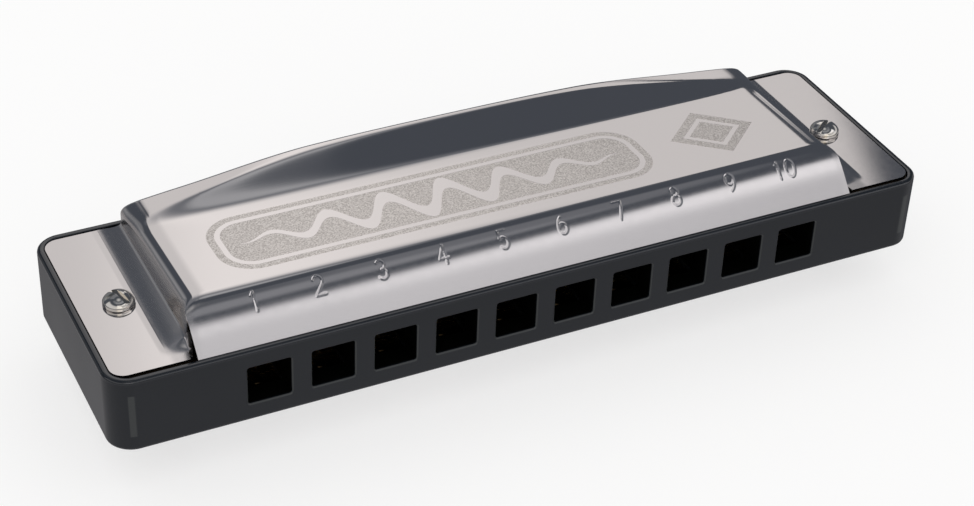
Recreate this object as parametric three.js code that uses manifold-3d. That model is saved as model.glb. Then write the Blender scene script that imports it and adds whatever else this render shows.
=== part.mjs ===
// Ten-hole diatonic harmonica: a moulded comb, two recessed brass reed plates with twenty free reeds,
// and two pressed steel cover plates held by a pair of through screws with hexagon nuts.
//
// Millimetres, +Z up. +X runs along the harmonica from hole 1 towards hole 10, and +Y from the mouth side
// to the open rear. The origin is the middle of the comb.

import * as THREE from 'three';
import { mergeVertices } from 'three/addons/utils/BufferGeometryUtils.js';
import Module from 'manifold-3d';

const wasm = await Module();
wasm.setup();
const { lerp, smoothstep, degToRad } = THREE.MathUtils;

// ---- Driving dimensions ----

const comb = { length: 102, depth: 29, height: 9.3, cornerRadius: 3, edgeChamfer: 0.3, rimWidth: 0.85 };
const holes = { count: 10, pitch: 7.4, width: 5.06, height: 4.9, throatDepth: 2.8 };
const plate = { seatHeight: 3.2, thickness: 0.9, sideClearance: 0.1 };
const sheetThickness = 0.45;
const seatGap = 0.03;
const cornerSegments = 5;

const reed = {
  longest: 15.5,
  shortest: 9.6,
  widestSlot: 2.5,
  narrowestSlot: 2.1,
  sideClearance: 0.06,
  endClearance: 0.08,
  padLength: 3,
  padWidth: 3,
  padThickness: 0.35,
  rootThickness: 0.3,
  tipThickness: 0.15,
  tipOffset: 0.25,
  plateGap: 0.1,
  rivetToSlot: 1.7,
};
const blowSlotStart = 4.2;
const drawRivetDepth = 4.6;
const chamberBehindRivet = 2.3;

const rivet = {
  shankRadius: 0.5,
  headRadius: 1,
  headThickness: 0.35,
  headGap: 0.08,
  formedRadius: 0.8,
  formedThickness: 0.2,
  padHoleRadius: 0.6,
  plateHoleRadius: 0.56,
  sides: 8,
};

const coverScrew = {
  x: 45.5,
  y: -0.8,
  headRadius: 1.8,
  headSide: 0.4,
  headHeight: 1.4,
  slotWidth: 0.65,
  slotDepth: 0.65,
  shankRadius: 0.95,
  holeRadius: 1.15,
};
const leftSlotTurn = degToRad(-68);
const rightSlotTurn = degToRad(30);
const nut = { acrossFlats: 4, thickness: 1.6, boreRadius: 1.02, threadShowing: 0.3 };

const plateScrew = {
  endX: 38.3,
  frontDepth: 5,
  rearDepth: 25.2,
  headRadius: 1.1,
  headHeight: 0.6,
  slotWidth: 0.35,
  slotDepth: 0.3,
  shankRadius: 0.55,
  shankLength: 3.4,
  holeRadius: 0.62,
};

const cover = {
  frontDepth: 0.95,
  rearDepth: 28,
  lipHeight: 4.55,
  slopeEndDepth: 2,
  bendEndDepth: 7,
  plateauHeight: 8.8,
  plateauFall: 0.045,
  foldDepth: 21.4,
  foldRounding: 0.8,
  levelDepth: 27.3,
  rearHeight: 10.05,
  rearBow: 1,
  bowStart: 17,
  bowEnd: 34,
  halfWidth: 41,
  noseFront: 2.1,
  noseRear: 4.3,
  footEnd: 43.65,
  rearSquareness: 0.35,
  shoulder: { start: 38.6, top: 40.25, bottom: 40.5, end: 41.05 },
  flangeHalfLength: 50.05,
  flangeFront: 1.38,
  flangeRear: 27.9,
  flangeCornerRadius: 1.7,
  slitTopDepth: 3.95,
};

// The end wall of a cover in section. Each station has its distance from the middle behind the front bend
// (x), at the top of the slits (slitX) and at the front lip (frontX), and its height as a share of the dome's
// height there, on the outside (share) and on the inside (innerShare). A slit splits the lip from the wall's
// foot: outer is 0 on the lip's side of it and 1 on the foot's side.
const wallStations = [
  { x: 38.6, slitX: 39.3, frontX: 39.3, share: 1, innerShare: 1, outer: 0 },
  { x: 39.6, slitX: 40.1, frontX: 40.1, share: 0.975, innerShare: 0.975, outer: 0 },
  { x: 40.25, slitX: 40.9, frontX: 40.9, share: 0.89, innerShare: 0.89, outer: 0 },
  { x: 40.62, slitX: 40.98, frontX: 41.2, share: 0.74, innerShare: 0.74, outer: 0.5 },
  { x: 40.86, slitX: 41.06, frontX: 41.55, share: 0.5, innerShare: 0.53, outer: 1 },
  { x: 41.02, slitX: 41.15, frontX: 41.65, share: 0.3, innerShare: 0.4, outer: 1 },
  { x: 41.2, slitX: 41.28, frontX: 41.76, share: 0.235, innerShare: 0.3, outer: 1 },
  { x: 41.5, slitX: 41.55, frontX: 41.9, share: 0.19, innerShare: 0.22, outer: 1 },
  { x: 42, slitX: 42.03, frontX: 42.2, share: 0.128, innerShare: 0.14, outer: 1 },
  { x: 42.6, slitX: 42.62, frontX: 42.7, share: 0.065, innerShare: 0.07, outer: 1 },
  { x: 43.1, slitX: 43.1, frontX: 43.1, share: 0.025, innerShare: 0.025, outer: 1 },
];
const plainStation = (x, share, outer) => ({ x, slitX: x, frontX: x, share, innerShare: share, outer });

// ---- Levels worked out from the driving dimensions ----

const front = -comb.depth / 2;
const plateBottom = plate.seatHeight + seatGap;
const plateTop = plateBottom + plate.thickness;
const flangeBottom = plateTop + seatGap;
const flangeTop = flangeBottom + sheetThickness;
const pocketLength = comb.length - 2 * comb.rimWidth;
const pocketDepth = comb.depth - 2 * comb.rimWidth;
const pocketCornerRadius = comb.cornerRadius - comb.rimWidth;

// ---- Materials ----

function material(color, roughness, metalness) {
  return new THREE.MeshStandardMaterial({ color, roughness, metalness });
}

const finish = {
  comb: () => material(0x24272c, 0.42, 0),
  plate: () => material(0xc9a24e, 0.3, 1),
  reed: () => material(0xd8b566, 0.32, 1),
  rivet: () => material(0xb98f45, 0.35, 1),
  cover: () => material(0xcdc6c3, 0.08, 1),
  screw: () => material(0xc8c2b4, 0.15, 1),
};

// ---- Solids ----

function toSolid(geometry) {
  const bare = geometry.clone();
  bare.deleteAttribute('normal');
  bare.deleteAttribute('uv');
  const merged = mergeVertices(bare, 1e-4);
  const index = merged.index.array;
  const triVerts = [];
  for (let i = 0; i < index.length; i += 3) {
    const [a, b, c] = [index[i], index[i + 1], index[i + 2]];
    if (a !== b && b !== c && c !== a) triVerts.push(a, b, c);
  }
  const vertProperties = merged.attributes.position.array;
  const mesh = new wasm.Mesh({ numProp: 3, vertProperties, triVerts: new Uint32Array(triVerts) });
  return new wasm.Manifold(mesh);
}

function toGeometry(solid) {
  const { vertProperties, triVerts } = solid.getMesh();
  const geometry = new THREE.BufferGeometry();
  geometry.setAttribute('position', new THREE.BufferAttribute(vertProperties, 3));
  geometry.setIndex(new THREE.BufferAttribute(triVerts, 1));
  geometry.computeVertexNormals();
  return geometry;
}

function cut(body, tools) {
  return tools.reduce((rest, tool) => rest.subtract(tool), body);
}

function block(x0, x1, y0, y1, z0, z1) {
  const geometry = new THREE.BoxGeometry(x1 - x0, y1 - y0, z1 - z0);
  geometry.translate((x0 + x1) / 2, (y0 + y1) / 2, (z0 + z1) / 2);
  return toSolid(geometry);
}

function rod(x, y, z0, z1, radius, sides) {
  const geometry = new THREE.CylinderGeometry(radius, radius, z1 - z0, sides);
  geometry.rotateX(Math.PI / 2);
  geometry.translate(x, y, (z0 + z1) / 2);
  return toSolid(geometry);
}

// A solid of revolution about Z from (radius, height) points listed upwards, starting and ending on the axis.
function turned(points, sides) {
  const geometry = new THREE.LatheGeometry(points.map(([r, h]) => new THREE.Vector2(r, h)), sides);
  geometry.rotateX(Math.PI / 2);
  return toSolid(geometry);
}

function roundedRectangle(length, depth, radius) {
  const [x, y] = [length / 2, depth / 2];
  const shape = new THREE.Shape();
  shape.absarc(x - radius, y - radius, radius, 0, Math.PI / 2);
  shape.absarc(radius - x, y - radius, radius, Math.PI / 2, Math.PI);
  shape.absarc(radius - x, radius - y, radius, Math.PI, 1.5 * Math.PI);
  shape.absarc(x - radius, radius - y, radius, 1.5 * Math.PI, 2 * Math.PI);
  return shape;
}

function roundedSlab(length, depth, radius, z0, z1) {
  const shape = roundedRectangle(length, depth, radius);
  const options = { depth: z1 - z0, bevelEnabled: false, curveSegments: cornerSegments };
  const geometry = new THREE.ExtrudeGeometry(shape, options);
  geometry.translate(0, 0, z0);
  return toSolid(geometry);
}

// ---- Places that repeat along the harmonica ----

function holeX(i) {
  return (i - (holes.count - 1) / 2) * holes.pitch;
}

function reedLength(i) {
  return lerp(reed.longest, reed.shortest, i / (holes.count - 1));
}

function slotWidth(i) {
  return lerp(reed.widestSlot, reed.narrowestSlot, i / (holes.count - 1));
}

function blowRivetY(i) {
  return front + blowSlotStart + reedLength(i) + reed.rivetToSlot;
}

const drawRivetY = front + drawRivetDepth;
const holeNumbers = Array.from({ length: holes.count }, (_, i) => i);
const coverScrewPlaces = [-coverScrew.x, coverScrew.x].map((x) => [x, coverScrew.y]);
const plateScrewPlaces = [
  [-plateScrew.endX, front + plateScrew.frontDepth],
  [plateScrew.endX, front + plateScrew.frontDepth],
  [-plateScrew.endX, front + plateScrew.rearDepth],
  [0, front + plateScrew.rearDepth],
  [plateScrew.endX, front + plateScrew.rearDepth],
];

// ---- Comb ----

function buildComb() {
  const { length, depth, height, cornerRadius, edgeChamfer: chamfer } = comb;
  const outline = roundedRectangle(length - 2 * chamfer, depth - 2 * chamfer, cornerRadius - chamfer);
  const slab = new THREE.ExtrudeGeometry(outline, {
    depth: height - 2 * chamfer,
    bevelThickness: chamfer,
    bevelSize: chamfer,
    bevelSegments: 1,
    curveSegments: cornerSegments,
  });
  slab.translate(0, 0, chamfer - height / 2);

  const upperPocket = roundedSlab(pocketLength, pocketDepth, pocketCornerRadius, plate.seatHeight, height);
  const lowerPocket = roundedSlab(pocketLength, pocketDepth, pocketCornerRadius, -height, -plate.seatHeight);
  const tools = [upperPocket, lowerPocket];
  const throatEnd = front + holes.throatDepth;
  for (const i of holeNumbers) {
    const [x0, x1] = [holeX(i) - holes.width / 2, holeX(i) + holes.width / 2];
    const chamberEnd = blowRivetY(i) + chamberBehindRivet;
    tools.push(block(x0, x1, front - 1, throatEnd + 0.1, -holes.height / 2, holes.height / 2));
    tools.push(block(x0, x1, throatEnd, chamberEnd, -height, height));
  }
  for (const [x, y] of coverScrewPlaces) tools.push(rod(x, y, -height, height, coverScrew.holeRadius, 12));
  for (const [x, y] of plateScrewPlaces) tools.push(rod(x, y, -height, height, plateScrew.holeRadius, 8));
  return toGeometry(cut(toSolid(slab), tools));
}

// ---- Reed plates ----

function slotCutter(i, y0) {
  const half = slotWidth(i) / 2;
  return block(holeX(i) - half, holeX(i) + half, y0, y0 + reedLength(i), -comb.height, comb.height);
}

function buildReedPlate(side, z0, z1) {
  const { sideClearance } = plate;
  const slab = roundedSlab(
    pocketLength - 2 * sideClearance,
    pocketDepth - 2 * sideClearance,
    pocketCornerRadius - sideClearance,
    z0,
    z1,
  );
  const tools = [];
  for (const i of holeNumbers) {
    const slotStart = side === 'blow' ? front + blowSlotStart : drawRivetY + reed.rivetToSlot;
    const rivetY = side === 'blow' ? blowRivetY(i) : drawRivetY;
    tools.push(slotCutter(i, slotStart));
    tools.push(rod(holeX(i), rivetY, z0 - 1, z1 + 1, rivet.plateHoleRadius, rivet.sides));
  }
  for (const [x, y] of coverScrewPlaces) tools.push(rod(x, y, z0 - 1, z1 + 1, coverScrew.holeRadius, 12));
  for (const [x, y] of plateScrewPlaces) tools.push(rod(x, y, z0 - 1, z1 + 1, plateScrew.holeRadius, 8));
  return toGeometry(cut(slab, tools));
}

// ---- Reeds and rivets ----
// Local frame: origin on the rivet's axis at the pad's upper face, which faces the reed plate. The tongue
// points along +Y, and the reed hangs below the plate.

function buildReed(i) {
  const tipY = reed.rivetToSlot + reedLength(i) - reed.endClearance;
  const halfPad = reed.padLength / 2;
  const halfRoot = slotWidth(i) / 2 - reed.sideClearance;
  const halfWidth = reed.padWidth / 2;

  const plan = new THREE.Shape();
  plan.moveTo(-halfWidth, -halfPad);
  plan.lineTo(halfWidth, -halfPad);
  plan.lineTo(halfWidth, halfPad);
  plan.lineTo(halfRoot, halfPad);
  plan.lineTo(halfRoot, tipY);
  plan.lineTo(-halfRoot, tipY);
  plan.lineTo(-halfRoot, halfPad);
  plan.lineTo(-halfWidth, halfPad);
  const planGeometry = new THREE.ExtrudeGeometry(plan, { depth: 2, bevelEnabled: false });
  planGeometry.translate(0, 0, -1);

  const section = new THREE.Shape();
  section.moveTo(-halfPad - 1, 0);
  section.lineTo(-halfPad - 1, -reed.padThickness);
  section.lineTo(halfPad, -reed.padThickness);
  section.lineTo(halfPad + 0.1, -reed.rootThickness);
  section.lineTo(tipY + 1, -reed.tipOffset - reed.tipThickness);
  section.lineTo(tipY + 1, -reed.tipOffset);
  section.lineTo(halfPad, 0);
  const across = 2 * reed.padWidth;
  const sectionGeometry = new THREE.ExtrudeGeometry(section, { depth: across, bevelEnabled: false });
  sectionGeometry.translate(0, 0, -across / 2);
  const alongYAndZ = new THREE.Matrix4().makeBasis(
    new THREE.Vector3(0, 1, 0),
    new THREE.Vector3(0, 0, 1),
    new THREE.Vector3(1, 0, 0),
  );
  sectionGeometry.applyMatrix4(alongYAndZ);

  const bored = toSolid(planGeometry).subtract(rod(0, 0, -2, 2, rivet.padHoleRadius, rivet.sides));
  return toGeometry(bored.intersect(toSolid(sectionGeometry)));
}

function buildRivet() {
  const headTop = -reed.padThickness - rivet.headGap;
  const headBottom = headTop - rivet.headThickness;
  const formedBottom = reed.plateGap + plate.thickness + 0.02;
  const profile = [
    [0, headBottom],
    [rivet.headRadius * 0.8, headBottom],
    [rivet.headRadius, headTop],
    [rivet.shankRadius, headTop],
    [rivet.shankRadius, formedBottom],
    [rivet.formedRadius, formedBottom],
    [rivet.formedRadius * 0.8, formedBottom + rivet.formedThickness],
    [0, formedBottom + rivet.formedThickness],
  ];
  return toGeometry(turned(profile, rivet.sides));
}

// ---- Cover plates ----

// Height of the dome's front at a depth behind the mouth side: a straight slope up from the lip, then a bend
// that turns it into the gently falling plateau.
function frontHeight(depth) {
  const { frontDepth, slopeEndDepth, lipHeight, plateauHeight, plateauFall } = cover;
  const bendLength = cover.bendEndDepth - slopeEndDepth;
  const slopeLength = slopeEndDepth - frontDepth;
  const bendShare = (3 * Math.PI) / 16;
  const climb = plateauHeight - lipHeight + plateauFall * (slopeLength + bendLength);
  const steepness = climb / (slopeLength + bendLength * bendShare);
  const turn = THREE.MathUtils.clamp((depth - slopeEndDepth) / bendLength, 0, 1);
  const bend = (turn * (5 - 2 * turn ** 2) * Math.sqrt(1 - turn ** 2) + 3 * Math.asin(turn)) / 8;
  const slope = (steepness - plateauFall) * (Math.min(depth, slopeEndDepth) - frontDepth);
  return lipHeight + slope + bendLength * (steepness * bend - plateauFall * turn);
}

// Height of the dome's top before the end walls are shaped. Behind the fold it rises as a shallow scoop to
// an arched rear edge, less steeply and less high towards the ends.
function topHeight(x, depth) {
  const { plateauFall, bendEndDepth, foldDepth, foldRounding, levelDepth } = cover;
  const plateau = frontHeight(depth) - plateauFall * Math.max(depth - bendEndDepth, 0);
  if (depth < foldDepth) return plateau;
  const plateauAtRear = cover.plateauHeight - plateauFall * (levelDepth - bendEndDepth);
  const rearRise = cover.rearHeight - plateauAtRear;
  const outward = Math.min(Math.abs(x) / cover.halfWidth, 1);
  const fullRise = rearRise * (1 - outward ** 2.7);
  const slope = (rearRise / (levelDepth - foldDepth)) * (1 - outward ** 3) ** 0.6;
  const behindFold = depth - foldDepth;
  const climbing = (slope * (behindFold + Math.hypot(behindFold, foldRounding))) / 2;
  return plateau + Math.min(climbing, fullRise);
}

// Where the flange lies, front to rear, at a distance from the middle: its outer corners are rounded.
function flangeEdges(x) {
  const radius = cover.flangeCornerRadius;
  const intoCorner = THREE.MathUtils.clamp(x - (cover.flangeHalfLength - radius), 0, radius);
  const inset = radius - Math.sqrt(radius ** 2 - intoCorner ** 2);
  return [cover.flangeFront + inset, cover.flangeRear - inset];
}

const coverColumns = (() => {
  const { flangeHalfLength, flangeCornerRadius } = cover;
  const cornerStart = flangeHalfLength - flangeCornerRadius;
  const corner = [20, 45, 70, 90].map((a) => cornerStart + flangeCornerRadius * Math.sin(degToRad(a)));
  const flange = [cover.footEnd, cornerStart, ...corner].map((x) => plainStation(x, 0, 1));
  const right = [...wallStations, ...flange];
  const dome = [-35, -29, -21, -11, 0, 11, 21, 29, 35].map((x) => plainStation(x, 1, 0));
  const left = right.map((s) => ({ ...s, x: -s.x, slitX: -s.slitX, frontX: -s.frontX })).reverse();
  return [...left, ...dome, ...right];
})();

const coverRows = [
  cover.frontDepth, 2.2, 3.2, cover.slitTopDepth, 4.8, 5.7, cover.bendEndDepth, 13, 19.5,
  cover.foldDepth, 22.8, 24.3, 25.8, cover.levelDepth, cover.rearDepth,
];

// How far the shoulder over an end wall is pushed outwards, which squares the dome's rear corners.
function shoulderPush(reach, depth) {
  const { start, top, bottom, end } = cover.shoulder;
  const onShoulder = smoothstep(reach, start, top) * (1 - smoothstep(reach, bottom, end));
  return cover.rearSquareness * onShoulder * smoothstep(depth, cover.foldDepth, cover.levelDepth);
}

// A point of the cover's outside: the dome's height times the wall's share. Between the two slits the front
// lip keeps its full height out to its free side edges. Outside them the wall's foot sinks into the flange.
function coverPoint(column, depth, share) {
  const behindBend = smoothstep(depth, cover.slitTopDepth, cover.bendEndDepth);
  const behindLip = smoothstep(depth, cover.frontDepth, cover.slitTopDepth);
  const plainX = lerp(lerp(column.frontX, column.slitX, behindLip), column.x, behindBend);
  const x = plainX + Math.sign(plainX) * shoulderPush(Math.abs(plainX), depth);
  const rise = topHeight(x, depth) - flangeTop;
  const lipRise = rise * lerp(1, share, behindBend);
  const footRise = Math.max(0, rise) * share * smoothstep(depth, cover.noseFront, cover.noseRear);

  const reach = Math.abs(x);
  const [edgeFront, edgeRear] = flangeEdges(reach);
  const along = (depth - cover.frontDepth) / (cover.rearDepth - cover.frontDepth);
  const bowAcross = smoothstep(reach, cover.bowStart, cover.bowEnd);
  const bowAtEnd = 1 - smoothstep(reach, cover.halfWidth, cover.footEnd);
  const bow = cover.rearBow * bowAcross * bowAtEnd * smoothstep(depth, cover.foldDepth, cover.rearDepth);
  const footDepth = lerp(edgeFront, edgeRear, along);
  const y = front + lerp(depth, footDepth, column.outer) - bow;
  return new THREE.Vector3(x, y, flangeTop + lerp(lipRise, footRise, column.outer));
}

// A closed sheet from a grid of outside points and a grid of inside points. Cells that are open are left
// out, and every free edge of the sheet gets a side face.
function closedSheet(outside, inside, isOpen) {
  const [columns, rows] = [outside.length, outside[0].length];
  const positions = [...outside.flat(), ...inside.flat()].flatMap((point) => point.toArray());
  const at = (layer, c, r) => (layer * columns + c) * rows + r;
  const exists = (c, r) => c >= 0 && r >= 0 && c < columns - 1 && r < rows - 1 && !isOpen(c, r);
  const faces = [];
  const quad = (a, b, c, d) => faces.push(a, b, c, a, c, d);
  for (let c = 0; c < columns - 1; c++) {
    for (let r = 0; r < rows - 1; r++) {
      if (!exists(c, r)) continue;
      quad(at(0, c, r), at(0, c + 1, r), at(0, c + 1, r + 1), at(0, c, r + 1));
      quad(at(1, c, r), at(1, c, r + 1), at(1, c + 1, r + 1), at(1, c + 1, r));
      if (!exists(c, r - 1)) quad(at(1, c, r), at(1, c + 1, r), at(0, c + 1, r), at(0, c, r));
      if (!exists(c, r + 1)) quad(at(0, c, r + 1), at(0, c + 1, r + 1), at(1, c + 1, r + 1), at(1, c, r + 1));
      if (!exists(c - 1, r)) quad(at(0, c, r), at(0, c, r + 1), at(1, c, r + 1), at(1, c, r));
      if (!exists(c + 1, r)) quad(at(1, c + 1, r), at(1, c + 1, r + 1), at(0, c + 1, r + 1), at(0, c + 1, r));
    }
  }
  const geometry = new THREE.BufferGeometry();
  geometry.setAttribute('position', new THREE.Float32BufferAttribute(positions, 3));
  geometry.setIndex(faces);
  return geometry;
}

// The same grid moved inwards by the sheet's thickness, square to the surface at each point.
function offsetGrid(grid, distance) {
  return grid.map((line, c) =>
    line.map((point, r) => {
      const acrossX = grid[Math.min(c + 1, grid.length - 1)][r].clone().sub(grid[Math.max(c - 1, 0)][r]);
      const acrossY = line[Math.min(r + 1, line.length - 1)].clone().sub(line[Math.max(r - 1, 0)]);
      const normal = acrossX.cross(acrossY).normalize();
      return point.clone().addScaledVector(normal, -distance);
    }),
  );
}

function buildCover() {
  const outside = coverColumns.map((column) => coverRows.map((d) => coverPoint(column, d, column.share)));
  const plain = coverColumns.map((column) => coverRows.map((d) => coverPoint(column, d, column.innerShare)));
  const inside = offsetGrid(plain, sheetThickness);
  const isOpen = (c, r) => {
    const inSlit = coverColumns[c].outer !== coverColumns[c + 1].outer;
    return inSlit && coverRows[r] < cover.slitTopDepth;
  };
  const sheet = toSolid(closedSheet(outside, inside, isOpen));
  const screwHoles = coverScrewPlaces.map(([x, y]) => rod(x, y, 0, comb.height, coverScrew.holeRadius, 12));
  return toGeometry(cut(sheet, screwHoles));
}

// ---- Screws and nuts ----

// A slotted screw standing on Z = 0 with its shank below. Its slot runs along X, turned by slotTurn.
function slottedScrew(size, headProfile, shankEnd, slotTurn, sides) {
  const profile = [[0, -shankEnd], [size.shankRadius, -shankEnd], [size.shankRadius, 0], ...headProfile];
  const slotReach = 2 * size.headRadius;
  const slot = new THREE.BoxGeometry(slotReach, size.slotWidth, 2 * size.slotDepth);
  slot.rotateZ(slotTurn);
  slot.translate(0, 0, size.headHeight);
  return turned(profile, sides).subtract(toSolid(slot));
}

function buildCoverScrew(slotTurn) {
  const { headRadius, headSide, headHeight } = coverScrew;
  const dome = [90, 60, 30].map((angle) => [
    headRadius * Math.sin(degToRad(angle)),
    headSide + (headHeight - headSide) * Math.cos(degToRad(angle)),
  ]);
  const headProfile = [[headRadius, 0], ...dome, [0, headHeight]];
  const shankEnd = 2 * flangeTop + nut.thickness + nut.threadShowing;
  return toGeometry(slottedScrew(coverScrew, headProfile, shankEnd, slotTurn, 16));
}

function buildPlateScrew() {
  const { headRadius, headHeight } = plateScrew;
  const crown = [headRadius * 0.75, headHeight];
  const headProfile = [[headRadius, 0], [headRadius, headHeight / 2], crown, [0, headHeight]];
  return toGeometry(slottedScrew(plateScrew, headProfile, plateScrew.shankLength, 0, rivet.sides));
}

function buildNut() {
  const hexagon = new THREE.Shape();
  const cornerRadius = nut.acrossFlats / Math.sqrt(3);
  for (let corner = 0; corner < 6; corner++) {
    const angle = (corner * Math.PI) / 3;
    const [x, y] = [cornerRadius * Math.cos(angle), cornerRadius * Math.sin(angle)];
    if (corner === 0) hexagon.moveTo(x, y);
    else hexagon.lineTo(x, y);
  }
  const geometry = new THREE.ExtrudeGeometry(hexagon, { depth: nut.thickness, bevelEnabled: false });
  return toGeometry(toSolid(geometry).subtract(rod(0, 0, -1, nut.thickness + 1, nut.boreRadius, 12)));
}

// ---- Assembly ----

const harmonica = new THREE.Group();

function add(name, geometry, look, [x, y, z] = [0, 0, 0]) {
  const mesh = new THREE.Mesh(geometry, look);
  mesh.name = name;
  mesh.position.set(x, y, z);
  harmonica.add(mesh);
  return mesh;
}

add('comb', buildComb(), finish.comb());
add('upper_reed_plate', buildReedPlate('blow', plateBottom, plateTop), finish.plate());
add('lower_reed_plate', buildReedPlate('draw', -plateTop, -plateBottom), finish.plate());

const blowPadTop = plateBottom - reed.plateGap;
const drawPadTop = -plateTop - reed.plateGap;
for (const i of holeNumbers) {
  const number = i + 1;
  const blowPlace = [holeX(i), blowRivetY(i), blowPadTop];
  const drawPlace = [holeX(i), drawRivetY, drawPadTop];
  add(`blow_reed_${number}`, buildReed(i), finish.reed(), blowPlace).rotation.z = Math.PI;
  add(`blow_rivet_${number}`, buildRivet(), finish.rivet(), blowPlace);
  add(`draw_reed_${number}`, buildReed(i), finish.reed(), drawPlace);
  add(`draw_rivet_${number}`, buildRivet(), finish.rivet(), drawPlace);
}

const coverGeometry = buildCover();
add('upper_cover', coverGeometry, finish.cover());
add('lower_cover', coverGeometry.clone(), finish.cover()).rotation.y = Math.PI;

plateScrewPlaces.forEach(([x, y], k) => {
  const seat = plateTop + seatGap;
  add(`upper_plate_screw_${k + 1}`, buildPlateScrew(), finish.screw(), [x, y, seat]);
  add(`lower_plate_screw_${k + 1}`, buildPlateScrew(), finish.screw(), [x, y, -seat]).rotation.x = Math.PI;
});

const headSeat = flangeTop + seatGap;
const nutTop = -flangeTop - seatGap;
const sides = [
  { side: 'left', x: -coverScrew.x, slotTurn: leftSlotTurn },
  { side: 'right', x: coverScrew.x, slotTurn: rightSlotTurn },
];
for (const { side, x, slotTurn } of sides) {
  add(`cover_screw_${side}`, buildCoverScrew(slotTurn), finish.screw(), [x, coverScrew.y, headSeat]);
  add(`cover_nut_${side}`, buildNut(), finish.screw(), [x, coverScrew.y, nutTop - nut.thickness]);
}

export default harmonica;
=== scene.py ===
"""The harmonica's looks: fine covers, comb, screws and rivets with their materials, in a plain studio."""

import math

import bmesh
import bpy
import numpy as np
from mathutils import Matrix, Vector


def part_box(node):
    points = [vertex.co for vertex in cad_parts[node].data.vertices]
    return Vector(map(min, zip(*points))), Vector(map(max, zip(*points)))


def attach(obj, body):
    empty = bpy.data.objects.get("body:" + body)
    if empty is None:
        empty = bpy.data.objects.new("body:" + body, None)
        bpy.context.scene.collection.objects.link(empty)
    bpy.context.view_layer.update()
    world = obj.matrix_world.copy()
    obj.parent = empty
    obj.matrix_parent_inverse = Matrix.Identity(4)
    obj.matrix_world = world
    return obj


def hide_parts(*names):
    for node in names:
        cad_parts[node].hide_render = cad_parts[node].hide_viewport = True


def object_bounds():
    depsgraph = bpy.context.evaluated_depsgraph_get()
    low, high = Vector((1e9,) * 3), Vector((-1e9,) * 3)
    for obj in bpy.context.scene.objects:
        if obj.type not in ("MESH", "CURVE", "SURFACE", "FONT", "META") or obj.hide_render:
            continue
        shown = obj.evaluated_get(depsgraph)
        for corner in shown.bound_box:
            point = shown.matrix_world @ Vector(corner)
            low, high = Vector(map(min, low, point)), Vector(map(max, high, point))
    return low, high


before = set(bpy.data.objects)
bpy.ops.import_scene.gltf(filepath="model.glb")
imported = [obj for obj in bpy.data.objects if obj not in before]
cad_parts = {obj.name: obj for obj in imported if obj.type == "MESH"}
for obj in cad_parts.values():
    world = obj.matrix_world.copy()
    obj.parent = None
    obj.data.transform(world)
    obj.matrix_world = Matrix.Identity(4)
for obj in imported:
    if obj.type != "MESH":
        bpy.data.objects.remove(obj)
cad_low, cad_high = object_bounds()

MM = 0.001
BODY = "harmonica_body"


# ---- Places read from the frame, in millimetres ----

def node_box(name):
    low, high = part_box(name)
    return np.array(low) / MM, np.array(high) / MM


COMB_LOW, COMB_HIGH = node_box("comb")
COVER_LOW, COVER_HIGH = node_box("upper_cover")
HOLE_X = [sum(corner[0] for corner in node_box(f"blow_reed_{n}")) / 2 for n in range(1, 11)]
FRONT = COMB_LOW[1]
FLANGE_HALF_LENGTH = COVER_HIGH[0]

# ---- Dimensions of the fine shapes, in millimetres ----

SHEET = 0.45
FLANGE_TOP = COVER_LOW[2] + SHEET

COMB_CORNER = 3.0
RIM_WIDTH = 0.85
POCKET_FLOOR = node_box("upper_reed_plate")[0][2] - 0.03
HOLE_WIDTH, HOLE_HEIGHT = 5.06, 4.9
THROAT_DEPTH = 2.8

LIP_DEPTH, LIP_HEIGHT = 0.95, 4.55
SLOPE_END_DEPTH, BEND_END_DEPTH = 2.0, 7.0
PLATEAU_HEIGHT, PLATEAU_FALL = 8.8, 0.045
FOLD_DEPTH, LEVEL_DEPTH, REAR_DEPTH = 21.4, 27.3, 28.0
FOLD_ROUNDING, LEVEL_ROUNDING = 0.8, 0.12
REAR_RISE = COVER_HIGH[2] - PLATEAU_HEIGHT + PLATEAU_FALL * (LEVEL_DEPTH - BEND_END_DEPTH)
REAR_LIP_DEPTH, REAR_LIP_DROP = 27.6, 0.12
REAR_BOW = 1.0
DOME_HALF_WIDTH = 41.0
FLANGE_FRONT, FLANGE_REAR = 1.38, 27.9
FLANGE_CORNER = 1.7
SLIT_TOP_DEPTH = 3.95
NOSE_FRONT, NOSE_REAR = 2.1, 4.3
FLANGE_EASE = 5.0
REAR_SQUARENESS = 0.35
EDGE_ROUNDING = 0.06

# The end wall in section, from the plateau out to the flange: distance from the middle behind the bend, at
# the top of the slits and at the front lip, then height as a share of the dome's, outside and inside.
WALL = np.array([
    (38.6, 39.3, 39.3, 1.0, 1.0),
    (39.6, 40.1, 40.1, 0.975, 0.975),
    (40.25, 40.9, 40.9, 0.89, 0.89),
    (40.62, 40.98, 41.2, 0.74, 0.74),
    (40.86, 41.06, 41.55, 0.5, 0.53),
    (41.02, 41.15, 41.65, 0.3, 0.4),
    (41.2, 41.28, 41.76, 0.235, 0.3),
    (41.5, 41.55, 41.9, 0.19, 0.22),
    (42.0, 42.03, 42.2, 0.128, 0.14),
    (42.6, 42.62, 42.7, 0.065, 0.07),
    (43.1, 43.1, 43.1, 0.025, 0.025),
    (43.65, 43.65, 43.65, 0.0, 0.0),
])
SLIT_INNER_STATION, SLIT_OUTER_STATION = 2, 4

DIGIT_BOTTOM_DEPTH, DIGIT_TOP_DEPTH = 3.4, 5.2
DIGIT_WIDTH = 1.25
STROKE_RADIUS, STROKE_DEPTH = 0.1, 0.055


# ---- Node helpers ----

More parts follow.
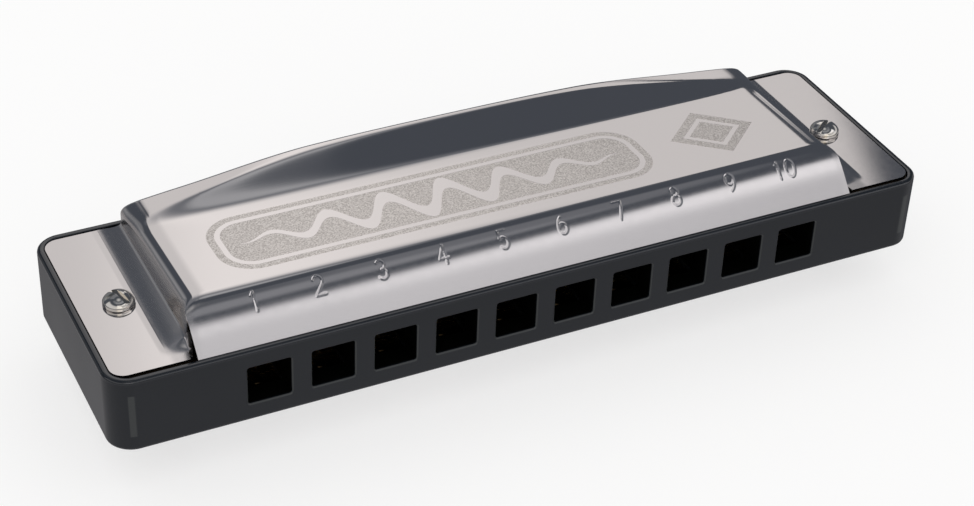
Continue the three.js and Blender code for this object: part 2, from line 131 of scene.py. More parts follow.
def make_node(tree, kind, inputs=None, **settings):
    node = tree.nodes.new(kind)
    for key, value in settings.items():
        setattr(node, key, value)
    for key, value in (inputs or {}).items():
        socket = node.inputs[key]
        if isinstance(value, bpy.types.NodeSocket):
            tree.links.new(value, socket)
        else:
            socket.default_value = value
    return node


def calc(tree, operation, *values):
    return make_node(tree, "ShaderNodeMath", dict(enumerate(values)), operation=operation).outputs[0]


def fade(tree, value, start, end):
    """0 below start and 1 above end, smooth between."""
    inputs = {"Value": value, "From Min": start, "From Max": end}
    return make_node(tree, "ShaderNodeMapRange", inputs, interpolation_type="SMOOTHSTEP").outputs[0]


def invert(tree, value):
    return calc(tree, "SUBTRACT", 1.0, value)


def product(tree, *values):
    result = values[0]
    for value in values[1:]:
        result = calc(tree, "MULTIPLY", result, value)
    return result


def beyond(tree, value, centre, edge):
    """How far a value lies past the edge, which is the same distance to both sides of the centre."""
    return calc(tree, "SUBTRACT", calc(tree, "ABSOLUTE", calc(tree, "SUBTRACT", value, centre)), edge)


def hypotenuse(tree, a, b):
    return calc(tree, "SQRT", calc(tree, "ADD", product(tree, a, a), product(tree, b, b)))


def mix_value(tree, factor, a, b):
    inputs = {"Factor": factor, 2: a, 3: b}
    return make_node(tree, "ShaderNodeMix", inputs, data_type="FLOAT").outputs[0]


def mix_color(tree, factor, a, b):
    inputs = {"Factor": factor, 6: a, 7: b}
    return make_node(tree, "ShaderNodeMix", inputs, data_type="RGBA").outputs[2]


def noise(tree, vector, scale, detail=2.0, roughness=0.5):
    inputs = {"Vector": vector, "Scale": scale, "Detail": detail, "Roughness": roughness}
    return make_node(tree, "ShaderNodeTexNoise", inputs).outputs["Fac"]


def stretched(tree, vector, scale):
    inputs = {"Vector": vector, "Scale": scale}
    return make_node(tree, "ShaderNodeMapping", inputs).outputs[0]


def bump(tree, height, distance_mm, strength=1.0, normal=None):
    inputs = {"Height": height, "Distance": distance_mm * MM, "Strength": strength}
    if normal is not None:
        inputs["Normal"] = normal
    return make_node(tree, "ShaderNodeBump", inputs).outputs[0]


def new_material(name):
    material = bpy.data.materials.new(name)
    material.use_nodes = True
    tree = material.node_tree
    tree.nodes.clear()
    shader = make_node(tree, "ShaderNodeBsdfPrincipled")
    output = make_node(tree, "ShaderNodeOutputMaterial", {"Surface": shader.outputs[0]})
    place = make_node(tree, "ShaderNodeTexCoord").outputs["Object"]
    return material, tree, shader, place, output


def set_inputs(tree, shader, values):
    for key, value in values.items():
        if isinstance(value, bpy.types.NodeSocket):
            tree.links.new(value, shader.inputs[key])
        else:
            shader.inputs[key].default_value = value


def coordinates_mm(tree, place):
    split = make_node(tree, "ShaderNodeSeparateXYZ", {"Vector": place})
    return [calc(tree, "DIVIDE", split.outputs[k], MM) for k in range(3)]


# ---- Materials ----

def cover_material(name, etched):
    """Mirror-polished steel with a satin front lip and end walls, faint press waves and hairlines. The
    numbered cover has an etched panel too."""
    material, tree, shader, place, _ = new_material(name)
    x, y, _ = coordinates_mm(tree, place)
    depth = calc(tree, "SUBTRACT", y, FRONT)

    reach = calc(tree, "ABSOLUTE", x)
    on_dome = invert(tree, fade(tree, reach, DOME_HALF_WIDTH - 0.2, DOME_HALF_WIDTH + 0.2))
    lip = product(tree, on_dome, invert(tree, fade(tree, depth, 3.0, 6.0)))
    mottle = noise(tree, place, 900.0, 4.0, 0.6)
    hairlines = noise(tree, stretched(tree, place, (120.0, 9000.0, 9000.0)), 1.0, 3.0, 0.7)
    waves = noise(tree, place, 55.0, 1.0)

    roughness = calc(tree, "MULTIPLY_ADD", mottle, 0.03, 0.045)
    roughness = mix_value(tree, lip, roughness, calc(tree, "MULTIPLY_ADD", mottle, 0.07, 0.14))
    wall = product(tree, fade(tree, reach, 39.9, 40.5), invert(tree, fade(tree, reach, 43.0, 44.0)))
    roughness = mix_value(tree, wall, roughness, calc(tree, "MULTIPLY_ADD", mottle, 0.05, 0.2))
    color = (0.74, 0.712, 0.7, 1.0)

    if etched:
        etch = etched_panel(tree, x, depth)
        grain = noise(tree, place, 5200.0, 2.0, 0.8)
        speckle = fade(tree, grain, 0.38, 0.62)
        etch_color = mix_color(tree, speckle, (0.58, 0.545, 0.51, 1.0), (0.95, 0.91, 0.865, 1.0))
        color = mix_color(tree, etch, color, etch_color)
        roughness = mix_value(tree, etch, roughness, 0.3)
        height = product(tree, etch, grain)
        normal = bump(tree, height, 0.02, 0.3)
    else:
        normal = None
    normal = bump(tree, waves, 0.25, 0.08, normal)
    normal = bump(tree, hairlines, 0.01, 0.06, normal)
    set_inputs(tree, shader, {
        "Base Color": color,
        "Metallic": 1.0,
        "Roughness": roughness,
        "Normal": normal,
    })
    return material


def inner_material(name):
    """The covers' unpolished inside: rougher steel, its colour darkened well below the outside's as painted
    shade, so the inner face stays dark.
    """
    material, tree, shader, place, _ = new_material(name)
    mill = noise(tree, stretched(tree, place, (90.0, 2200.0, 2200.0)), 1.0, 3.0, 0.7)
    set_inputs(tree, shader, {
        # Painted shade: the inside's steel colour is kept much darker than the outside's.
        "Base Color": mix_color(tree, mill, (0.16, 0.155, 0.15, 1.0), (0.3, 0.29, 0.28, 1.0)),
        "Metallic": 1.0,
        "Roughness": calc(tree, "MULTIPLY_ADD", mill, 0.2, 0.32),
        "Normal": bump(tree, mill, 0.01, 0.3),
    })
    return material


def rounded_box(tree, x, y, centre, half, radius):
    """Signed distance from a rounded rectangle: negative inside."""
    across = beyond(tree, x, centre[0], half[0] - radius)
    along = beyond(tree, y, centre[1], half[1] - radius)
    corner = hypotenuse(tree, calc(tree, "MAXIMUM", across, 0.0), calc(tree, "MAXIMUM", along, 0.0))
    inner = calc(tree, "MINIMUM", calc(tree, "MAXIMUM", across, along), 0.0)
    return calc(tree, "SUBTRACT", calc(tree, "ADD", corner, inner), radius)


def etched_panel(tree, x, depth):
    """1 on the etched ornament: a long cartouche holding a plain wave, and a lozenge beside it."""
    soft = 0.06
    centre = (-7.5, 14.0)
    half = (27.0, 5.6)
    outline = rounded_box(tree, x, depth, centre, half, 4.2)
    band = invert(tree, fade(tree, outline, -soft, soft))
    frame_line = fade(tree, calc(tree, "ABSOLUTE", calc(tree, "ADD", outline, 1.2)), 0.3, 0.3 + soft)

    across = calc(tree, "DIVIDE", calc(tree, "SUBTRACT", x, centre[0]), half[0] - 2.4)
    swell = calc(tree, "MAXIMUM", calc(tree, "SUBTRACT", 1.0, product(tree, across, across)), 0.0)
    phase = calc(tree, "SINE", calc(tree, "MULTIPLY", x, 2 * math.pi / 7.4))
    wave = product(tree, swell, phase, 2.5)
    from_wave = calc(tree, "ABSOLUTE", calc(tree, "SUBTRACT", calc(tree, "SUBTRACT", depth, centre[1]), wave))
    thickness = calc(tree, "MULTIPLY_ADD", swell, 1.3, -0.1)
    wave_gap = fade(tree, calc(tree, "SUBTRACT", from_wave, thickness), 0.0, soft)
    cartouche = product(tree, band, frame_line, wave_gap)

    reach_x = calc(tree, "ABSOLUTE", calc(tree, "DIVIDE", calc(tree, "SUBTRACT", x, 29.0), 5.6))
    reach_y = calc(tree, "ABSOLUTE", calc(tree, "DIVIDE", calc(tree, "SUBTRACT", depth, 14.0), 5.0))
    lozenge_reach = calc(tree, "ADD", reach_x, reach_y)
    lozenge = invert(tree, fade(tree, lozenge_reach, 1.0, 1.02))
    ring = fade(tree, calc(tree, "ABSOLUTE", calc(tree, "SUBTRACT", lozenge_reach, 0.62)), 0.07, 0.09)
    return calc(tree, "MAXIMUM", cartouche, product(tree, lozenge, ring))


def comb_material():
    """Satin black moulded ABS: a faint blue cast, fine mould texture and light handling marks, with painted
    shade inside the holes and chambers and a painted highlight on the holes' front bevels.
    """
    material, tree, shader, place, _ = new_material("comb_abs")
    texture = noise(tree, place, 2600.0, 3.0, 0.6)
    cloud = noise(tree, place, 70.0, 2.0)
    color = mix_color(tree, cloud, (0.0058, 0.0078, 0.0108, 1.0), (0.0082, 0.0104, 0.014, 1.0))
    x, y, z = coordinates_mm(tree, place)
    from_front = calc(tree, "SUBTRACT", y, FRONT)
    # Painted shade: inside the mouth holes and chambers the colour goes near black and the specular almost
    # off.
    chamber_painted_shade = product(
        tree,
        invert(tree, fade(tree, calc(tree, "ABSOLUTE", z), 2.55, 2.6)),
        invert(tree, fade(tree, calc(tree, "ABSOLUTE", x), 37.0, 37.2)),
        fade(tree, from_front, 0.16, 0.5),
        invert(tree, fade(tree, y, COMB_HIGH[1] - 1.0, COMB_HIGH[1] - 0.6)),
    )
    # Painted highlight: a lighter colour on the small bevel just inside the front of each mouth hole.
    hole_bevel_painted_highlight = product(
        tree,
        invert(tree, fade(tree, calc(tree, "ABSOLUTE", z), 2.7, 2.75)),
        fade(tree, from_front, 0.01, 0.03),
        invert(tree, fade(tree, from_front, 0.16, 0.2)),
    )
    color = mix_color(tree, hole_bevel_painted_highlight, color, (0.03, 0.033, 0.034, 1.0))
    rim = fade(tree, calc(tree, "ABSOLUTE", z), 4.2, 4.35)
    gloss = mix_value(tree, rim, calc(tree, "MULTIPLY_ADD", cloud, 0.1, 0.27), 0.12)
    set_inputs(tree, shader, {
        # Painted shade inside the holes and chambers is mixed in here.
        "Base Color": mix_color(tree, chamber_painted_shade, color, (0.0012, 0.0014, 0.0012, 1.0)),
        "Specular IOR Level": mix_value(tree, chamber_painted_shade, mix_value(tree, rim, 0.5, 0.9), 0.06),
        "Roughness": gloss,
        "Normal": bump(tree, texture, 0.01, 0.25),
    })
    return material


def brass_material(name, color, grain_scale, roughness):
    """Brass with a directional grain and tarnish, darkened near the plates' ends and front as painted shade.
    """
    material, tree, shader, place, _ = new_material(name)
    grain = noise(tree, stretched(tree, place, grain_scale), 1.0, 4.0, 0.65)
    tarnish = noise(tree, place, 220.0, 3.0)
    dark = tuple(c * 0.78 for c in color)
    bare = mix_color(tree, fade(tree, tarnish, 0.35, 0.7), (*color, 1.0), (*dark, 1.0))
    x, y, _ = coordinates_mm(tree, place)
    from_end = calc(tree, "SUBTRACT", COMB_HIGH[0], calc(tree, "ABSOLUTE", x))
    from_front = calc(tree, "SUBTRACT", y, FRONT)
    # Painted shade: the brass turns near black close to the ends and the front, where the covers and comb
    # shade it.
    covered = calc(tree, "MINIMUM", from_end, calc(tree, "SUBTRACT", from_front, 2.6))
    edge = invert(tree, fade(tree, covered, 1.6, 3.0))
    set_inputs(tree, shader, {
        # The painted shade near the ends and front is mixed into the colour here.
        "Base Color": mix_color(tree, edge, bare, (0.035, 0.024, 0.012, 1.0)),
        "Metallic": 1.0,
        "Roughness": calc(tree, "MULTIPLY_ADD", grain, 0.14, roughness),
        "Normal": bump(tree, grain, 0.012, 0.35),
    })
    return material


def fastener_material(name, axis_x, axis_y):
    """Bright nickel plate over brass with turning rings about the fastener's own axis."""
    material, tree, shader, place, _ = new_material(name)
    x, y, _ = coordinates_mm(tree, place)
    from_axis_x = calc(tree, "SUBTRACT", x, axis_x)
    from_axis_y = calc(tree, "SUBTRACT", y, axis_y)
    rings = calc(tree, "SINE", calc(tree, "MULTIPLY", hypotenuse(tree, from_axis_x, from_axis_y), 60.0))
    wear = noise(tree, place, 900.0, 3.0)
    nickel, worn = (0.8, 0.775, 0.73, 1.0), (0.7, 0.63, 0.5, 1.0)
    set_inputs(tree, shader, {
        "Base Color": mix_color(tree, fade(tree, wear, 0.5, 0.75), nickel, worn),
        "Metallic": 1.0,
        "Roughness": calc(tree, "MULTIPLY_ADD", wear, 0.06, 0.05),
        "Normal": bump(tree, rings, 0.001, 0.03),
    })
    return material


# ---- Mesh helpers ----

def make_object(name, vertices_mm, faces, material, sharp_angle=35.0):
    mesh = bpy.data.meshes.new(name)
    mesh.from_pydata([tuple(v) for v in np.asarray(vertices_mm) * MM], [], faces)
    mesh.validate()
    obj = bpy.data.objects.new(name, mesh)
    bpy.context.scene.collection.objects.link(obj)
    mesh.materials.append(material)
    shade(obj, sharp_angle)
    return obj


def shade(obj, sharp_angle):
    """Smooth shading, with edges sharper than the angle kept crisp."""
    mesh = bmesh.new()
    mesh.from_mesh(obj.data)
    bmesh.ops.recalc_face_normals(mesh, faces=mesh.faces)
    limit = math.radians(sharp_angle)
    for face in mesh.faces:
        face.smooth = True
    for edge in mesh.edges:
        edge.smooth = edge.calc_face_angle(math.pi) < limit
    mesh.to_mesh(obj.data)
    mesh.free()


def apply_modifiers(obj):
    graph = bpy.context.evaluated_depsgraph_get()
    mesh = bpy.data.meshes.new_from_object(obj.evaluated_get(graph))
    obj.modifiers.clear()
    old = obj.data
    obj.data = mesh
    bpy.data.meshes.remove(old)


def subtract(obj, cutters):
    """Cuts the cutters out of obj and removes them."""
    for cutter in cutters:
        cut = obj.modifiers.new("cut", "BOOLEAN")
        cut.object = cutter
        cut.operation = "DIFFERENCE"
        cut.solver = "EXACT"
    apply_modifiers(obj)
    for cutter in cutters:
        bpy.data.objects.remove(cutter)


def soften(obj, width_mm, segments=2, angle=35.0):
    bevel = obj.modifiers.new("bevel", "BEVEL")
    bevel.width = width_mm * MM
    bevel.segments = segments
    bevel.limit_method = "ANGLE"
    bevel.angle_limit = math.radians(angle)
    bevel.harden_normals = True


def loft(loops):
    """Vertices and faces of a closed body through loops of equally many points, capped at both ends."""
    count = len(loops[0])
    vertices = np.concatenate(loops)
    faces = []
    for level in range(len(loops) - 1):
        for k in range(count):
            after = (k + 1) % count
            low, high = level * count, (level + 1) * count
            faces.append((low + k, low + after, high + after, high + k))
    faces.append(tuple(reversed(range(count))))
    faces.append(tuple(range((len(loops) - 1) * count, len(loops) * count)))
    return vertices, faces


def rounded_loop(length, width, radius, corner_segments, centre=(0.0, 0.0)):
    """Points round a rounded rectangle, anticlockwise."""
    points = []
    corners = [(1, 1, 0), (-1, 1, 90), (-1, -1, 180), (1, -1, 270)]
    for side_x, side_y, start in corners:
        cx = centre[0] + side_x * (length / 2 - radius)
        cy = centre[1] + side_y * (width / 2 - radius)
        for k in range(corner_segments + 1):
            angle = math.radians(start + 90 * k / corner_segments)
            points.append((cx + radius * math.cos(angle), cy + radius * math.sin(angle)))
    return np.array(points)


def at_height(loop, z):
    return np.column_stack([loop, np.full(len(loop), z)])


def revolved(profile, segments, centre=(0.0, 0.0, 0.0), direction=1.0):
    """A body turned about a vertical axis from (radius, height) points that end on the axis."""
    vertices = [(0.0, 0.0, profile[0][1])]
    angles = np.linspace(0, 2 * math.pi, segments, endpoint=False)
    for radius, height in profile[1:-1]:
        vertices += [(radius * math.cos(a), radius * math.sin(a), height) for a in angles]
    vertices.append((0.0, 0.0, profile[-1][1]))
    last = len(vertices) - 1
    faces = []
    for k in range(segments):
        after = (k + 1) % segments
        faces.append((0, 1 + after, 1 + k))
        for ring in range(len(profile) - 3):
            low, high = 1 + ring * segments, 1 + (ring + 1) * segments
            faces.append((low + k, low + after, high + after, high + k))
        top = 1 + (len(profile) - 3) * segments
        faces.append((top + k, top + after, last))
    points = np.array(vertices)
    points[:, 2] *= direction
    return points + np.array(centre), faces


# ---- Comb ----

def build_comb(material):
    length, width = COMB_HIGH[0] - COMB_LOW[0], COMB_HIGH[1] - COMB_LOW[1]
    top = COMB_HIGH[2]
    edge = [(RIM_WIDTH, POCKET_FLOOR), (RIM_WIDTH, top - 0.14)]
    edge += [(RIM_WIDTH - 0.04, top - 0.04), (RIM_WIDTH - 0.14, top)]
    edge += [(0.34, top), (0.17, top - 0.05), (0.05, top - 0.17), (0.0, top - 0.34)]
    loops = []
    for inset, z in [(i, -z) for i, z in edge] + list(reversed(edge)):
        loop = rounded_loop(length - 2 * inset, width - 2 * inset, COMB_CORNER - inset, 14)
        loops.append(at_height(loop, z))
    comb = make_object("comb_moulding", *loft(loops), material)

    cutters = []
    for number, x in enumerate(HOLE_X, start=1):
        chamber_end = node_box(f"blow_reed_{number}")[1][1] + 0.8
        cutters.append(mouth_cutter(number, x, material))
        chamber = rounded_loop(HOLE_WIDTH, chamber_end - (FRONT + THROAT_DEPTH), 0.5, 4,
                               (x, (chamber_end + FRONT + THROAT_DEPTH) / 2))
        loops = [at_height(chamber, -top), at_height(chamber, top)]
        cutters.append(make_object(f"chamber_cutter_{number}", *loft(loops), material))
    subtract(comb, cutters)
    shade(comb, 30.0)
    comb.modifiers.new("flat_faces", "WEIGHTED_NORMAL").keep_sharp = True
    return comb


def mouth_cutter(number, x, material):
    """A hole's cutter: it flares at the front face, which leaves the hole a fine bevel."""
    flare = 0.16
    sections = [(-0.5, flare + 0.5), (flare, 0.0), (THROAT_DEPTH + 0.3, 0.0)]
    loops = []
    for depth, grow in sections:
        loop = rounded_loop(HOLE_WIDTH + 2 * grow, HOLE_HEIGHT + 2 * grow, 0.3 + grow, 4)
        loops.append(np.column_stack([loop[:, 0] + x, np.full(len(loop), FRONT + depth), loop[:, 1]]))
    return make_object(f"mouth_cutter_{number}", *loft(loops), material)


# ---- Cover plates ----

def smooth(value, start, end):
    t = np.clip((value - start) / (end - start), 0, 1)
    return t * t * (3 - 2 * t)


def top_height(x, depth):
    """Height of the dome before its end walls: front slope, bend, falling plateau and rear scoop."""
    length = BEND_END_DEPTH - SLOPE_END_DEPTH
    straight = SLOPE_END_DEPTH - LIP_DEPTH
    bend_area = 3 * math.pi / 16
    total_climb = PLATEAU_HEIGHT - LIP_HEIGHT + PLATEAU_FALL * (straight + length)
    steepness = total_climb / (straight + length * bend_area)
    turn = np.clip((depth - SLOPE_END_DEPTH) / length, 0, 1)
    bend = (turn * (5 - 2 * turn**2) * np.sqrt(1 - turn**2) + 3 * np.arcsin(turn)) / 8
    climb = (steepness - PLATEAU_FALL) * (np.minimum(depth, SLOPE_END_DEPTH) - LIP_DEPTH)
    front = LIP_HEIGHT + climb + length * (steepness * bend - PLATEAU_FALL * turn)
    plateau = front - PLATEAU_FALL * np.maximum(depth - BEND_END_DEPTH, 0)

    outward = np.clip(np.abs(x) / DOME_HALF_WIDTH, 0, 1)
    full_rise = REAR_RISE * (1 - outward**2.7)
    slope = REAR_RISE / (LEVEL_DEPTH - FOLD_DEPTH) * (1 - outward**3) ** 0.45
    behind_fold = depth - FOLD_DEPTH
    climbing = slope * (behind_fold + np.sqrt(behind_fold**2 + FOLD_ROUNDING**2)) / 2
    rise = (climbing + full_rise - np.sqrt((climbing - full_rise) ** 2 + LEVEL_ROUNDING**2)) / 2
    rise = smooth(depth, FOLD_DEPTH - 2.5, FOLD_DEPTH - 0.5) * np.maximum(rise, 0)
    lip = REAR_LIP_DROP * np.clip((depth - REAR_LIP_DEPTH) / (REAR_DEPTH - REAR_LIP_DEPTH), 0, 1) ** 2
    return plateau + rise - lip


def spline_through(stations, samples):
    """Catmull-Rom samples between stations, ends included."""
    padded = np.vstack([2 * stations[0] - stations[1], stations, 2 * stations[-1] - stations[-2]])
    rows = []
    for k in range(len(stations) - 1):
        a, b, c, d = padded[k:k + 4]
        for t in np.arange(samples) / samples:
            square, cube = 2 * a - 5 * b + 4 * c - d, 3 * b - a - 3 * c + d
            rows.append(0.5 * (2 * b + (c - a) * t + square * t**2 + cube * t**3))
    rows.append(stations[-1])
    return np.array(rows)


def cover_columns(numbered):
    """One row per column of the cover's grid: x behind the bend, at the slits' top and at the lip, outside
    and inside shares, and 0 to 1 across the slit."""
    samples = 6
    wall = spline_through(WALL, samples)
    last_inner, first_outer = SLIT_INNER_STATION * samples, SLIT_OUTER_STATION * samples
    across_slit = np.clip((np.arange(len(wall)) - last_inner) / (first_outer - last_inner), 0, 1)
    wall = np.column_stack([wall, across_slit])
    corner_start = FLANGE_HALF_LENGTH - FLANGE_CORNER
    flat = np.linspace(WALL[-1][0], corner_start, 8)[1:]
    corner = corner_start + FLANGE_CORNER * np.sin(np.radians(np.linspace(0, 90, 10)[1:]))
    flange = np.array([(x, x, x, 0.0, 0.0, 1.0) for x in [*flat, *corner]])
    right = np.vstack([wall, flange])

    coarse = list(np.linspace(-WALL[0][0], WALL[0][0], 98)[1:-1])
    if numbered:
        fine = []
        for number, x in enumerate(HOLE_X, start=1):
            half = 1.9 if number == len(HOLE_X) else 1.0
            fine += list(np.arange(x - half, x + half, 0.06))
            coarse = [c for c in coarse if abs(c - x) > half + 0.3]
        coarse = sorted(coarse + fine)
    dome = np.array([(x, x, x, 1.0, 1.0, 0.0) for x in coarse])
    left = right[::-1] * np.array([-1, -1, -1, 1, 1, 1])
    return np.vstack([left, dome, right])


def cover_rows(numbered):
    step = 0.06 if numbered else 0.25
    stretches = [
        np.linspace(LIP_DEPTH, 3.0, 14, endpoint=False),
        np.arange(3.0, 5.6, step),
        np.linspace(5.6, BEND_END_DEPTH, 14, endpoint=False),
        np.linspace(BEND_END_DEPTH, 20.0, 20, endpoint=False),
        np.linspace(20.0, 26.8, 44, endpoint=False),
        np.linspace(26.8, REAR_DEPTH, 14),
    ]
    rows = np.concatenate(stretches)
    nearest = np.argmin(np.abs(rows - SLIT_TOP_DEPTH))
    rows[nearest] = SLIT_TOP_DEPTH
    return rows


def cover_grid(columns, rows, share):
    """Points of one face of the cover: the dome's height times the wall's share of it."""
    depth = rows[None, :]
    rest_x, slit_x, front_x = columns[:, 0:1], columns[:, 1:2], columns[:, 2:3]
    share, outer = share[:, None], columns[:, 5:6]
    behind_bend = smooth(depth, SLIT_TOP_DEPTH, BEND_END_DEPTH)
    behind_lip = smooth(depth, LIP_DEPTH, SLIT_TOP_DEPTH)
    x = front_x + (slit_x - front_x) * behind_lip + (rest_x - slit_x) * behind_bend
    near_shoulder = smooth(np.abs(x), 38.6, 40.25) * (1 - smooth(np.abs(x), 40.5, 41.05))
    x = x + np.sign(x) * REAR_SQUARENESS * near_shoulder * smooth(depth, FOLD_DEPTH, LEVEL_DEPTH)
    rise = np.maximum(top_height(x, depth) - FLANGE_TOP, -FLANGE_TOP)
    inner_z = FLANGE_TOP + rise * (1 + (share - 1) * behind_bend)
    outer_z = FLANGE_TOP + np.maximum(rise, 0) * share * smooth(depth, NOSE_FRONT, NOSE_REAR)
    z = inner_z + (outer_z - inner_z) * outer

    into_corner = np.clip(np.abs(x) - (FLANGE_HALF_LENGTH - FLANGE_CORNER), 0, FLANGE_CORNER)
    inset = FLANGE_CORNER - np.sqrt(FLANGE_CORNER**2 - into_corner**2)
    at_front = 1 - smooth(depth, LIP_DEPTH, LIP_DEPTH + FLANGE_EASE)
    at_rear = smooth(depth, REAR_DEPTH - FLANGE_EASE, REAR_DEPTH)
    front_shift = (FLANGE_FRONT - LIP_DEPTH + inset) * at_front
    flange_depth = depth + front_shift - (REAR_DEPTH - FLANGE_REAR + inset) * at_rear
    bow = REAR_BOW * smooth(np.abs(x), 17, 34) * smooth(depth, FOLD_DEPTH, REAR_DEPTH)
    bow = bow * (1 - smooth(np.abs(x), DOME_HALF_WIDTH, WALL[-1][0]))
    y = FRONT + depth - bow + (flange_depth - depth) * outer
    return np.stack([x + 0 * depth, y, z], axis=-1)


def grid_normals(grid):
    across_x = np.gradient(grid, axis=0)
    across_y = np.gradient(grid, axis=1)
    normal = np.cross(across_x, across_y)
    return normal / np.maximum(np.linalg.norm(normal, axis=-1, keepdims=True), 1e-9)


def sheet_faces(columns, rows):
    """Quads of the outside layer, the inside layer and every free edge. The slit's cells are left out."""
    count_c, count_r = len(columns), len(rows)
    is_open = np.zeros((count_c + 1, count_r + 1), bool)
    is_open[0, :] = is_open[-1, :] = True
    is_open[:, 0] = is_open[:, -1] = True
    outer = columns[:, 5]
    for c in range(count_c - 1):
        if outer[c] != outer[c + 1]:
            is_open[c + 1, 1:count_r][rows[:-1] < SLIT_TOP_DEPTH - 1e-6] = True
    faces = []
    layer = count_c * count_r
    for c in range(count_c - 1):
        for r in range(count_r - 1):
            if is_open[c + 1, r + 1]:
                continue
            a, b = c * count_r + r, (c + 1) * count_r + r
            d, e = a + 1, b + 1
            faces.append((a, b, e, d))
            faces.append((a + layer, d + layer, e + layer, b + layer))
            if is_open[c + 1, r]:
                faces.append((a + layer, b + layer, b, a))
            if is_open[c + 1, r + 2]:
                faces.append((d, e, e + layer, d + layer))
            if is_open[c, r + 1]:
                faces.append((a, d, d + layer, a + layer))
            if is_open[c + 2, r + 1]:
                faces.append((b + layer, e + layer, e, b))
    return faces


def build_cover(name, material, inner_material, numbered, underside):
    columns, rows = cover_columns(numbered), cover_rows(numbered)
    outside = cover_grid(columns, rows, columns[:, 3])
    inside = cover_grid(columns, rows, columns[:, 4])
    inside = inside - SHEET * grid_normals(inside)
    if numbered:
        outside = outside - grid_normals(outside) * digit_depths(columns, rows)[..., None]
    vertices = np.concatenate([outside.reshape(-1, 3), inside.reshape(-1, 3)])
    faces = sheet_faces(columns, rows)
    if underside:
        vertices = vertices * np.array([-1, 1, -1])
    cover = make_object(name, vertices, faces, material, 40.0)
    cover.data.materials.append(inner_material)
    layer = len(columns) * len(rows)
    for polygon in cover.data.polygons:
        if min(polygon.vertices) >= layer:
            polygon.material_index = 1
    remove_loose(cover)
    soften(cover, EDGE_ROUNDING, 2, 62.0)
    return cover


def remove_loose(obj):
    mesh = bmesh.new()
    mesh.from_mesh(obj.data)
    loose = [v for v in mesh.verts if not v.link_faces]
    bmesh.ops.delete(mesh, geom=loose, context="VERTS")
    mesh.to_mesh(obj.data)
    mesh.free()


# ---- Stamped hole numbers ----

def arc(centre, radii, start, end):
    angles = np.radians(np.linspace(start, end, 40))
    return np.column_stack([centre[0] + radii[0] * np.cos(angles), centre[1] + radii[1] * np.sin(angles)])


def line(*points):
    points = np.array(points, float)
    steps = np.linspace(0, 1, 24)[:, None]
    return np.concatenate([a + (b - a) * steps for a, b in zip(points[:-1], points[1:])])


def digit_strokes():
    """Each digit's strokes in a box one wide and one high."""
    return {
        "0": [arc((0.5, 0.5), (0.46, 0.5), 0, 360)],
        "1": [line((0.3, 0.8), (0.55, 1.0), (0.55, 0.0))],
        "2": [arc((0.5, 0.72), (0.42, 0.28), 165, -35), line((0.84, 0.56), (0.08, 0.0), (0.94, 0.0))],
        "3": [arc((0.48, 0.75), (0.38, 0.25), 150, -90), arc((0.48, 0.26), (0.42, 0.26), 90, -150)],
        "4": [line((0.66, 0.0), (0.66, 1.0), (0.06, 0.28), (0.94, 0.28))],
        "5": [line((0.86, 1.0), (0.2, 1.0), (0.14, 0.56)), arc((0.46, 0.32), (0.42, 0.32), 125, -140)],
        "6": [arc((0.5, 0.3), (0.42, 0.3), 0, 360), arc((0.92, 0.32), (0.84, 0.68), 180, 112)],
        "7": [line((0.08, 1.0), (0.92, 1.0), (0.42, 0.0))],
        "8": [arc((0.5, 0.76), (0.34, 0.24), 0, 360), arc((0.5, 0.27), (0.42, 0.27), 0, 360)],
        "9": [arc((0.5, 0.7), (0.42, 0.3), 0, 360), arc((0.08, 0.68), (0.84, 0.68), 0, -68)],
    }


def digit_depths(columns, rows):
    """How deep the stamped numbers sink the cover at each point of its grid."""
    strokes = digit_strokes()
    height = top_height(0.0, rows)
    steps = np.hypot(np.diff(rows), np.diff(height))
    along = np.concatenate([[0], np.cumsum(steps)])
    bottom = np.interp(DIGIT_BOTTOM_DEPTH, rows, along)
    tall = np.interp(DIGIT_TOP_DEPTH, rows, along) - bottom
    depths = np.zeros((len(columns), len(rows)))
    for number, centre in enumerate(HOLE_X, start=1):
        text = str(number)
        advance = DIGIT_WIDTH * 1.3
        for place, character in enumerate(text):
            left = centre + (place - (len(text) - 1) / 2) * advance - DIGIT_WIDTH / 2
            points = np.concatenate(strokes[character]) * (DIGIT_WIDTH, tall) + (left, bottom)
            near_c = np.where(np.abs(columns[:, 0] - (left + DIGIT_WIDTH / 2)) < DIGIT_WIDTH)[0]
            near_r = np.where((along > bottom - 0.6) & (along < bottom + tall + 0.6))[0]
            places = np.stack(np.meshgrid(columns[near_c, 0], along[near_r], indexing="ij"), axis=-1)
            gaps = np.linalg.norm(places[:, :, None, :] - points[None, None, :, :], axis=-1).min(axis=2)
            groove = STROKE_DEPTH * np.exp(-((gaps / STROKE_RADIUS) ** 2))
            block = depths[np.ix_(near_c, near_r)]
            depths[np.ix_(near_c, near_r)] = np.maximum(block, groove)
    return depths


# ---- Screws and rivets ----

def dome_profile(radius, side, height, shank_radius, shank_end, segments=9, fullness=1.0):
    profile = [(0.0, -shank_end), (shank_radius - 0.15, -shank_end), (shank_radius, 0.2 - shank_end)]
    profile += [(shank_radius, 0.0), (radius - 0.1, 0.0), (radius, 0.1), (radius, side)]
    for k in range(1, segments):
        angle = math.radians(90 * (1 - k / segments))
        profile.append((radius * math.sin(angle), side + (height - side) * math.cos(angle) ** fullness))
    profile.append((0.0, height))
    return profile


def slot_cutter(centre, seat, head_height, width, depth, turn, direction, material):
    low = head_height - depth
    loop = rounded_loop(8.0, width, 0.02, 2)
    loops = [at_height(loop, low), at_height(loop, head_height + 1)]
    vertices, faces = loft(loops)
    c, s = math.cos(turn), math.sin(turn)
    spin = np.array([(c, s, 0), (-s, c, 0), (0, 0, 1)])
    vertices = vertices @ spin
    vertices[:, 2] *= direction
    return make_object("slot_cutter", vertices + np.array([*centre, seat]), faces, material)


